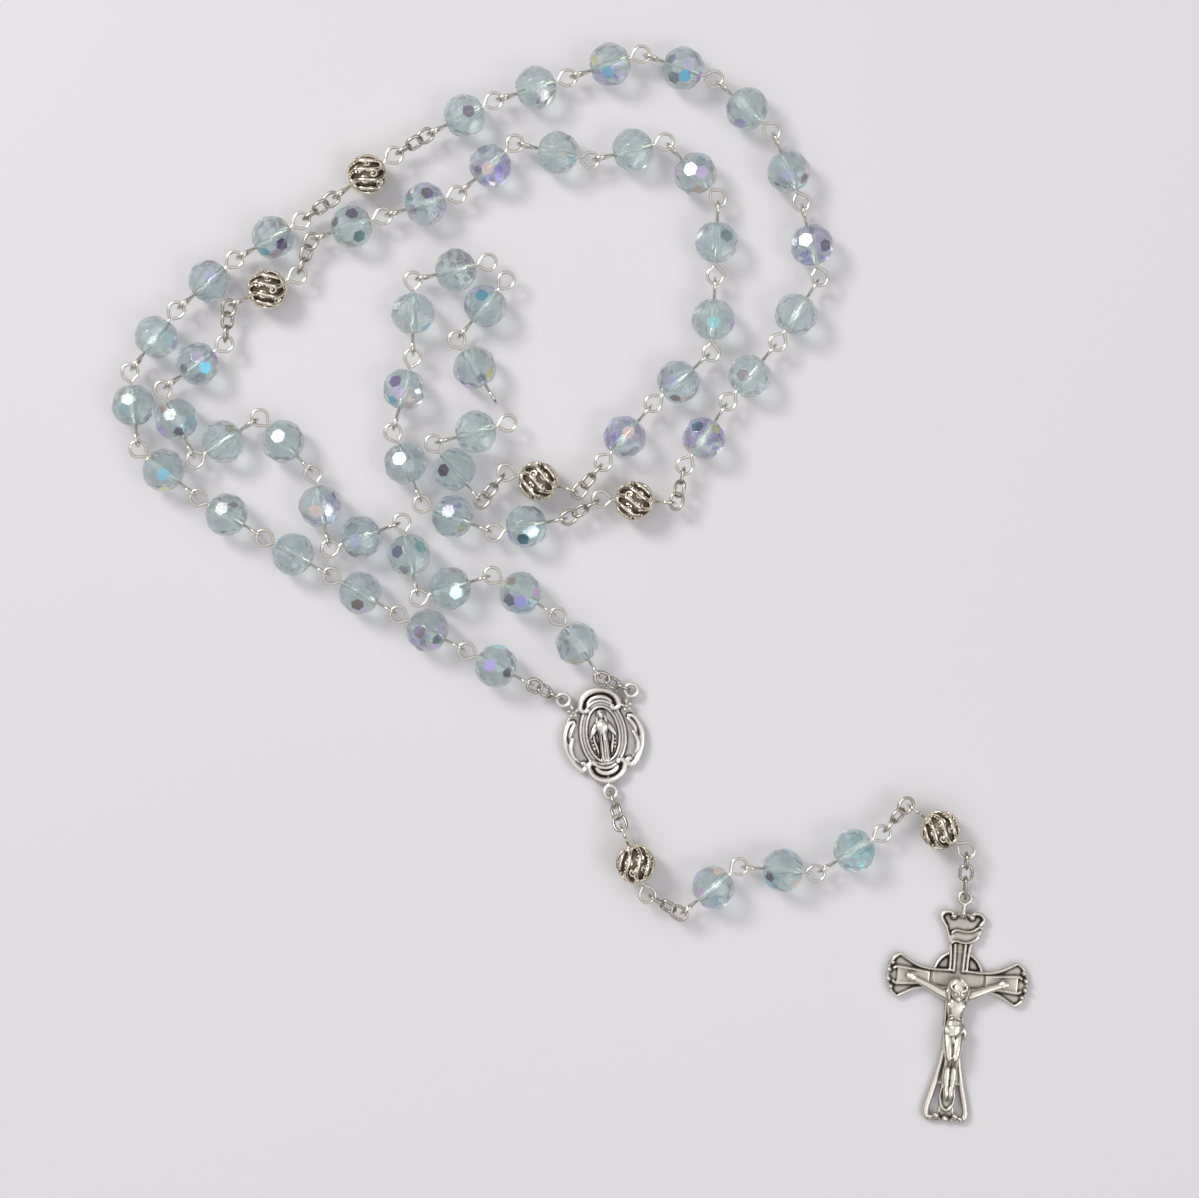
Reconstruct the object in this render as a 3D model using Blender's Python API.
"""Five-decade crystal rosary, laid in a double loop on a flat surface.

Metres, +Z up, the table at Z = 0. The origin is the centre of the centre medal's flat back.
The chain is a row of wire pins. Each pin has an upright eye at its near end and a flat eye at its far
end, so the upright eye of one hangs on the flat eye of the last. Short chains of three links stand
before and after each Our Father bead, at the medal and at the crucifix.
"""

import math

import bmesh
import bpy
from mathutils import Matrix, Vector

MM = 0.001

# Driving dimensions
BEAD_R = 3.5 * MM  # cut glass Hail Mary bead
FATHER_R = 3.3 * MM  # openwork Our Father bead
WIRE_R = 0.3 * MM
EYE_R = 1.3 * MM  # a pin's eye, to the middle of the wire
LINK_R = 1.0 * MM  # half width of a link, to the middle of the wire
LINK_STRAIGHT = 0.3 * MM  # half length of a link's straight sides
JUMP_STRAIGHT = 0.9 * MM  # the same on the long ring that holds the crucifix
BORE_R = 0.75 * MM
PLAY = 0.3 * MM  # free gap between two wires that hang on each other
NECK = 0.3 * MM  # wire between a bead and an eye
LAY_Z = BEAD_R  # the pins lie at the height of the beads' middles
PLATE_EYE_Z = 1.5 * MM  # height of the eyes of the medal and the crucifix

MEDAL_HALF = (6.4 * MM, 7.9 * MM)
MEDAL_THICK = 1.6 * MM
MEDAL_TURN = 97.0  # compass direction of the medal's top, degrees from +X

CROSS_TOP = 10.6 * MM  # from the crossing to the end of the top arm
CROSS_FOOT = 24.0 * MM
CROSS_ARM = 11.7 * MM
CROSS_WIDTHS = (2.0 * MM, 3.6 * MM)  # half width beside the crossing and at the flared ends
CROSS_THICK = 1.5 * MM

# Derived sizes along a pin, from the joint at its near end
STEP_IN = 2 * WIRE_R + PLAY  # from the joint back to the middle of the near wire
BEAD_AT = EYE_R - STEP_IN + EYE_R + WIRE_R + NECK + BEAD_R
PIN_LENGTH = BEAD_AT + BEAD_R + NECK + WIRE_R + EYE_R
LINK_HALF = LINK_R + LINK_STRAIGHT
LINK_PITCH = 2 * LINK_HALF - 0.5 * MM
LINK_AT = LINK_HALF - STEP_IN
CHAIN_LENGTH = LINK_AT + 2 * LINK_PITCH + LINK_STRAIGHT

# How the chain lies: the compass direction of each bead in turn, in degrees from +X
DECADE_1 = (125, 148, 197, 102, 200, 102, 134, 213, 115, 36)
DECADE_2 = (18, 16, 42, 347, 14, 313, 268, 267, 221, 230)
DECADE_3_NEAR = (131, 31, 122, 50)
DECADE_5_BACK = (153, 152, 150, 150, 149, 141, 96, 53, 41, 30)
DECADE_4_BACK = (27, 17, 18, 341, 318, 292, 284, 237, 230, 236)
DECADE_3_BACK = (191, 158, 112, 75, 90, 13)
PENDANT = (39, 355, 31)


def make_material(name, colour, roughness, metallic, transmission=0.0):
    material = bpy.data.materials.new(name)
    material.use_nodes = True
    shader = material.node_tree.nodes["Principled BSDF"]
    shader.inputs["Base Color"].default_value = (*colour, 1.0)
    shader.inputs["Roughness"].default_value = roughness
    shader.inputs["Metallic"].default_value = metallic
    shader.inputs["Transmission Weight"].default_value = transmission
    material.diffuse_color = (*colour, 1.0)
    return material


def link_object(name, mesh):
    made = bpy.data.objects.new(name, mesh)
    bpy.context.scene.collection.objects.link(made)
    return made


def baked(made):
    """The evaluated mesh of an object, which is then removed."""
    bpy.context.view_layer.update()
    graph = bpy.context.evaluated_depsgraph_get()
    mesh = bpy.data.meshes.new_from_object(made.evaluated_get(graph))
    bpy.data.objects.remove(made)
    return mesh


def boolean(shape, tools, operation, solver="EXACT"):
    """One closed solid, from a shape and the tools that join or cut it."""
    body = link_object("shape", shape)
    helpers = [link_object("tool", tool) for tool in tools]
    for helper in helpers:
        cut = body.modifiers.new("Boolean", "BOOLEAN")
        cut.operation = operation
        cut.solver = solver
        cut.object = helper
    mesh = baked(body)
    for helper in helpers:
        bpy.data.objects.remove(helper)
    return mesh


def fused(shapes, solver="EXACT"):
    """One solid from overlapping shapes. EXACT leaves open edges where two thin wires nearly touch."""
    return boolean(shapes[0], shapes[1:], "UNION", solver)


def moved(mesh, matrix):
    copy = mesh.copy()
    copy.transform(matrix)
    return copy


def wire(points, closed, radius=WIRE_R):
    """A round wire along points."""
    curve = bpy.data.curves.new("wire", "CURVE")
    curve.dimensions = "3D"
    curve.bevel_depth = radius
    curve.bevel_resolution = 0
    curve.use_fill_caps = True
    spline = curve.splines.new("POLY")
    spline.points.add(len(points) - 1)
    for slot, point in zip(spline.points, points):
        slot.co = (*point, 1.0)
    spline.use_cyclic_u = closed
    mesh = baked(link_object("wire", curve))
    shell = bmesh.new()
    shell.from_mesh(mesh)
    bmesh.ops.remove_doubles(shell, verts=shell.verts, dist=1e-6)
    bmesh.ops.recalc_face_normals(shell, faces=shell.faces)
    shell.to_mesh(mesh)
    shell.free()
    return mesh


def ring(at, radius, straight, roll, steps=8, thick=WIRE_R):
    """A round or long ring along X, flat at a roll of 0 and upright at 90 degrees."""
    points = []
    corner = radius / math.cos(math.pi / steps)
    for step in range(steps):
        angle = 2 * math.pi * (step + 0.5) / steps
        along = corner * math.cos(angle)
        along += math.copysign(straight, along)
        points.append(Vector((along, corner * math.sin(angle), 0.0)))
    spin = Matrix.Translation((at, 0.0, 0.0)) @ Matrix.Rotation(math.radians(roll), 4, "X")
    return wire([spin @ point for point in points], True, thick)


def eye(at, tip, roll, steps=7):
    """A pin's eye, round at its far side and drawn to a point towards the bead, at tip."""
    points = [Vector((tip - at, 0.0, 0.0))]
    corner = EYE_R / math.cos(math.pi / steps)
    for step in range(1, steps):
        angle = 2 * math.pi * step / steps
        along = math.copysign(corner * math.cos(angle), (tip - at) * math.cos(angle))
        points.append(Vector((along, corner * math.sin(angle), 0.0)))
    spin = Matrix.Translation((at, 0.0, 0.0)) @ Matrix.Rotation(math.radians(roll), 4, "X")
    return wire([spin @ point for point in points], True)


def ball(at, radius, around=8, rows=5):
    """A faceted ball whose poles lie on X."""
    shell = bmesh.new()
    bmesh.ops.create_uvsphere(shell, u_segments=around, v_segments=rows, radius=radius)
    turn = Matrix.Translation((at, 0.0, 0.0)) @ Matrix.Rotation(math.pi / 2, 4, "Y")
    bmesh.ops.transform(shell, matrix=turn, verts=shell.verts)
    mesh = bpy.data.meshes.new("ball")
    shell.to_mesh(mesh)
    shell.free()
    return mesh


def rod(start, end, radius, sides=4):
    """A round bar along X."""
    shell = bmesh.new()
    bmesh.ops.create_cone(
        shell, cap_ends=True, segments=sides, radius1=radius, radius2=radius, depth=end - start
    )
    turn = Matrix.Translation(((start + end) / 2, 0.0, 0.0)) @ Matrix.Rotation(math.pi / 2, 4, "Y")
    bmesh.ops.transform(shell, matrix=turn, verts=shell.verts)
    mesh = bpy.data.meshes.new("rod")
    shell.to_mesh(mesh)
    shell.free()
    return mesh


def eyes(inside):
    """The upright near eye and the flat far eye of a pin, whose points reach inside the bead's ends."""
    near = EYE_R - STEP_IN
    first = eye(near, BEAD_AT - BEAD_R + inside, 90)
    return [first, eye(PIN_LENGTH, BEAD_AT + BEAD_R - inside, 0)]


def pin_mesh():
    """A wire pin with its two eyes."""
    half = BEAD_R + WIRE_R / 2
    return fused([rod(BEAD_AT - half, BEAD_AT + half, WIRE_R), *eyes(-WIRE_R)], "MANIFOLD")


def bored_bead(radius):
    """A bead with the hole that its pin runs through."""
    hole = rod(BEAD_AT - radius * 1.2, BEAD_AT + radius * 1.2, BORE_R, 6)
    return boolean(ball(BEAD_AT, radius), [hole], "DIFFERENCE")


def beaded_pin():
    """A Hail Mary bead and its pin in one solid."""
    return fused([ball(BEAD_AT, BEAD_R), *eyes(2 * WIRE_R)], "MANIFOLD")


def pair_mesh(single, bend):
    """Two beaded pins, the second turned by bend, joined where its eye hangs on the first."""
    eye = Matrix.Translation((PIN_LENGTH, 0.0, 0.0)) @ Matrix.Rotation(math.radians(bend), 4, "Z")
    second = moved(single, eye @ Matrix.Translation((EYE_R, 0.0, 0.0)))
    join = moved(rod(EYE_R - STEP_IN, EYE_R, WIRE_R * 0.7), eye)
    return fused([single, join, second], "MANIFOLD")


def chain_mesh(rolls, last_straight):
    """Three links in one solid: each roll is the turn of one link about the chain."""
    straights = (LINK_STRAIGHT, LINK_STRAIGHT, last_straight)
    shapes = []
    at = LINK_AT
    for number, (roll, straight) in enumerate(zip(rolls, straights)):
        if number:
            at += LINK_R + straight - 0.25 * MM
            middle = at - LINK_R - straight + 0.25 * MM
            shapes.append(rod(middle - STEP_IN / 3, middle + STEP_IN / 3, WIRE_R * 0.7))
        shapes.append(ring(at, LINK_R, straight, roll))
        at += LINK_R + straight - 0.25 * MM
    return fused(shapes, "MANIFOLD")


def outline_plate(points, thick):
    """A flat plate, up from Z = 0, with the outline of points."""
    shell = bmesh.new()
    face = shell.faces.new([shell.verts.new((x, y, 0.0)) for x, y in points])
    raised = bmesh.ops.extrude_face_region(shell, geom=[face])
    top = [item for item in raised["geom"] if isinstance(item, bmesh.types.BMVert)]
    bmesh.ops.translate(shell, verts=top, vec=(0.0, 0.0, thick))
    bmesh.ops.recalc_face_normals(shell, faces=shell.faces)
    mesh = bpy.data.meshes.new("plate")
    shell.to_mesh(mesh)
    shell.free()
    return mesh


def medal_outline(steps=24):
    """An oval pinched at four places between the scrolls, with the top along +X."""
    points = []
    for step in range(steps):
        angle = 2 * math.pi * step / steps
        pinch = 1 - 0.09 * max(0.0, -math.cos(4 * angle)) ** 2
        points.append((MEDAL_HALF[1] * math.cos(angle) * pinch, MEDAL_HALF[0] * math.sin(angle) * pinch))
    return points


# The medal's eyes: the direction from its middle, in degrees from its top, and the distance
MEDAL_EYES = {"right": (-39.0, 8.7 * MM), "left": (41.0, 8.7 * MM), "foot": (180.0, 9.2 * MM)}


def medal_eye(name):
    angle, reach = MEDAL_EYES[name]
    angle = math.radians(angle)
    return Vector((reach * math.cos(angle), reach * math.sin(angle), PLATE_EYE_Z))


def medal_mesh():
    shapes = [outline_plate(medal_outline(), MEDAL_THICK)]
    boss = [(x * 0.66, y * 0.6) for x, y in medal_outline(12)]
    shapes.append(moved(outline_plate(boss, 2 * MM), Matrix.Translation((0, 0, 0.5 * MM))))
    for name, (angle, reach) in MEDAL_EYES.items():
        aim = Matrix.Rotation(math.radians(angle), 4, "Z")
        aim.translation = (0.0, 0.0, PLATE_EYE_Z)
        shapes.append(moved(ring(reach, LINK_R, 0.0, 0, thick=0.35 * MM), aim))
        shapes.append(moved(rod(5 * MM, reach - LINK_R, 0.45 * MM), aim))
    return fused(shapes)


BAIL_AT = LINK_R - STEP_IN - PLAY  # from the crucifix's joint to the middle of its eye
CROSS_AT = BAIL_AT + 1.0 * MM + 0.9 * MM + CROSS_TOP  # from the joint to the crossing


def cross_mesh():
    """The cross with its eye, seen from the joint: X runs down to the foot, Z is up off the table."""
    slim, wide = CROSS_WIDTHS
    mid = CROSS_AT
    drop = -PLATE_EYE_Z
    down = [(mid - CROSS_TOP, wide), (mid - CROSS_TOP, -wide), (mid, -slim), (mid + 12 * MM, -slim)]
    down += [(mid + CROSS_FOOT, -wide), (mid + CROSS_FOOT, wide), (mid + 12 * MM, slim), (mid, slim)]
    across = [(-wide, -CROSS_ARM), (wide, -CROSS_ARM), (slim, 0.0), (wide, CROSS_ARM), (-wide, CROSS_ARM)]
    across = [(mid + x, y) for x, y in across + [(-slim, 0.0)]]
    low = Matrix.Translation((0, 0, drop))
    shapes = [moved(outline_plate(down, CROSS_THICK), low)]
    shapes.append(moved(outline_plate(across, CROSS_THICK * 1.03), low))
    shapes.append(ring(BAIL_AT, LINK_R, 0.0, 0))
    shapes.append(rod(BAIL_AT + LINK_R, mid - CROSS_TOP + 1 * MM, 0.5 * MM))
    return fused(shapes)


def corpus_mesh():
    """The figure on the cross: a plain body, head, two arms and legs, just clear of the cross."""
    mid = CROSS_AT
    lift = CROSS_THICK * 1.03 - PLATE_EYE_Z + 0.3 * MM
    trunk = [(mid - 0.5 * MM, 1.7 * MM), (mid - 0.5 * MM, -1.7 * MM), (mid + 7 * MM, -1.5 * MM)]
    trunk += [(mid + 19 * MM, -0.8 * MM), (mid + 19 * MM, 0.8 * MM), (mid + 7 * MM, 1.5 * MM)]
    arms = [(mid - 1.6 * MM, -8.6 * MM), (mid - 0.6 * MM, -8.6 * MM), (mid + 2.0 * MM, 0.0)]
    arms += [(mid - 0.6 * MM, 8.6 * MM), (mid - 1.6 * MM, 8.6 * MM), (mid + 0.4 * MM, 0.0)]
    shapes = [moved(outline_plate(trunk, 1.6 * MM), Matrix.Translation((0, 0, lift)))]
    shapes.append(moved(outline_plate(arms, 1.2 * MM), Matrix.Translation((0, 0, lift + 0.2 * MM))))
    head = ball(0.0, 1.35 * MM, 6, 5)
    shapes.append(moved(head, Matrix.Translation((mid - 1.3 * MM, 0, lift + 1.4 * MM))))
    return fused(shapes)


class Lay:
    """Walks along the chain and puts each piece on the eye before it."""

    def __init__(self, eye, radius):
        self.eye = eye  # middle of the eye that the next piece hangs on
        self.radius = radius
        self.tilt = Vector((0.0, 0.0, 1.0))  # normal of that eye

    def place(self, heading, reach, next_radius, height):
        """The frame of the next piece: its joint, X along it and Y to its left.

        reach is the middle of its own far eye in that frame, which comes to rest at height.
        """
        flat = Vector((math.cos(math.radians(heading)), math.sin(math.radians(heading)), 0.0))
        along = flat
        for _ in range(12):
            outward = (along - self.tilt * along.dot(self.tilt)).normalized()
            joint = self.eye + outward * self.radius
            lean = math.asin(max(-0.9, min(0.9, (height - joint.z) / reach.x)))
            along = flat * math.cos(lean) + Vector((0.0, 0.0, math.sin(lean)))
        side = Vector((-flat.y, flat.x, 0.0))
        up = along.cross(side)
        frame = Matrix((along, side, up)).transposed().to_4x4()
        frame.translation = joint
        self.eye = frame @ reach
        self.radius = next_radius
        self.tilt = up
        return frame


def put(name, mesh, material, frame):
    """A node: one solid with its own mesh, which is placed by its joint."""
    own = mesh.copy()
    own.name = name
    own.materials.clear()
    own.materials.append(material)
    made = link_object(name, own)
    made.matrix_world = frame
    return made


def build():
    for old in list(bpy.data.objects):
        bpy.data.objects.remove(old)
    glass = make_material("aqua_crystal", (0.62, 0.83, 0.84), 0.05, 0.0, 0.6)
    silver = make_material("silver_wire", (0.80, 0.78, 0.74), 0.22, 1.0)
    filigree = make_material("filigree_silver", (0.78, 0.72, 0.62), 0.28, 1.0)
    dark = make_material("antiqued_silver", (0.55, 0.54, 0.52), 0.35, 1.0)

    single = beaded_pin()
    pin = pin_mesh()
    crystal = bored_bead(BEAD_R)
    father = bored_bead(FATHER_R)
    chain = chain_mesh((90, 45, 0), LINK_STRAIGHT)
    long_chain = chain_mesh((90, 0, 90), JUMP_STRAIGHT)
    long_reach = Vector((CHAIN_LENGTH + 2 * (JUMP_STRAIGHT - LINK_STRAIGHT), 0, 0))
    one_pin = Vector((PIN_LENGTH, 0, 0))

    medal_frame = Matrix.Rotation(math.radians(MEDAL_TURN), 4, "Z")
    put("centre_medal", medal_mesh(), dark, medal_frame)

    def links(lay, name, heading):
        put(name, chain, dark, lay.place(heading, Vector((CHAIN_LENGTH, 0, 0)), LINK_R, LAY_Z))

    def our_father(lay, name, heading):
        frame = lay.place(heading, one_pin, EYE_R, LAY_Z)
        put(name + "_pin", pin, silver, frame)
        put(name + "_bead", father, filigree, frame)

    def decade(lay, number, first, step, headings):
        """Pairs of beads: each pair is one solid, because a part holds at most 60."""
        for place in range(0, len(headings), 2):
            bead = first + step * place
            name = f"decade_{number}_beads_{bead}_{bead + step}"
            bend = headings[place + 1] - headings[place]
            second = Matrix.Rotation(math.radians(bend), 4, "Z") @ Vector((EYE_R + PIN_LENGTH, 0, 0))
            frame = lay.place(headings[place], one_pin + second, EYE_R, LAY_Z)
            put(name, pair_mesh(single, bend), glass, frame)

    right = Lay(medal_frame @ medal_eye("right"), LINK_R)
    links(right, "links_medal_to_decade_1", 158)
    decade(right, 1, 1, 1, DECADE_1)
    links(right, "links_decade_1_to_father_1", 84)
    our_father(right, "our_father_1", 24)
    links(right, "links_father_1_to_decade_2", 69)
    decade(right, 2, 1, 1, DECADE_2)
    links(right, "links_decade_2_to_father_2", 230)
    our_father(right, "our_father_2", 165)
    links(right, "links_father_2_to_decade_3", 230)
    decade(right, 3, 1, 1, DECADE_3_NEAR)

    left = Lay(medal_frame @ medal_eye("left"), LINK_R)
    links(left, "links_medal_to_decade_5", 153)
    decade(left, 5, 10, -1, DECADE_5_BACK)
    links(left, "links_decade_5_to_father_4", 36)
    our_father(left, "our_father_4", 35)
    links(left, "links_father_4_to_decade_4", 32)
    decade(left, 4, 10, -1, DECADE_4_BACK)
    links(left, "links_decade_4_to_father_3", 257)
    our_father(left, "our_father_3", 177)
    links(left, "links_father_3_to_decade_3", 210)
    decade(left, 3, 10, -1, DECADE_3_BACK)

    pendant = Lay(medal_frame @ medal_eye("foot"), LINK_R)
    links(pendant, "links_medal_to_father_5", 288)
    our_father(pendant, "our_father_5", 291)
    links(pendant, "links_father_5_to_pendant", 330)
    for number, heading in enumerate(PENDANT, 1):
        frame = pendant.place(heading, one_pin, EYE_R, LAY_Z)
        put(f"pendant_pin_{number}", pin, silver, frame)
        put(f"pendant_bead_{number}", crystal, glass, frame)
    links(pendant, "links_pendant_to_father_6", 50)
    our_father(pendant, "our_father_6", 322)
    share = (EYE_R + long_reach.x) / (EYE_R + long_reach.x + LINK_R)
    end = LAY_Z - (LAY_Z - PLATE_EYE_Z + 0.1 * MM) * share
    frame = pendant.place(270, long_reach, 0.0, end)
    put("links_father_6_to_crucifix", long_chain, dark, frame)

    # The crucifix's flat eye hangs on the upright ring, so its joint is that ring's far wire
    joint = frame @ (long_reach + Vector((LINK_R, 0.0, 0.0)))
    hang = Matrix.Rotation(math.radians(265), 4, "Z")
    hang.translation = Vector((joint.x, joint.y, PLATE_EYE_Z))
    put("crucifix_cross", cross_mesh(), dark, hang)
    put("crucifix_figure", corpus_mesh(), dark, hang)
    for made in bpy.context.scene.collection.objects:
        made.data.shade_smooth()
        made.data.set_sharp_from_angle(angle=math.radians(35))
    return right, left


build()
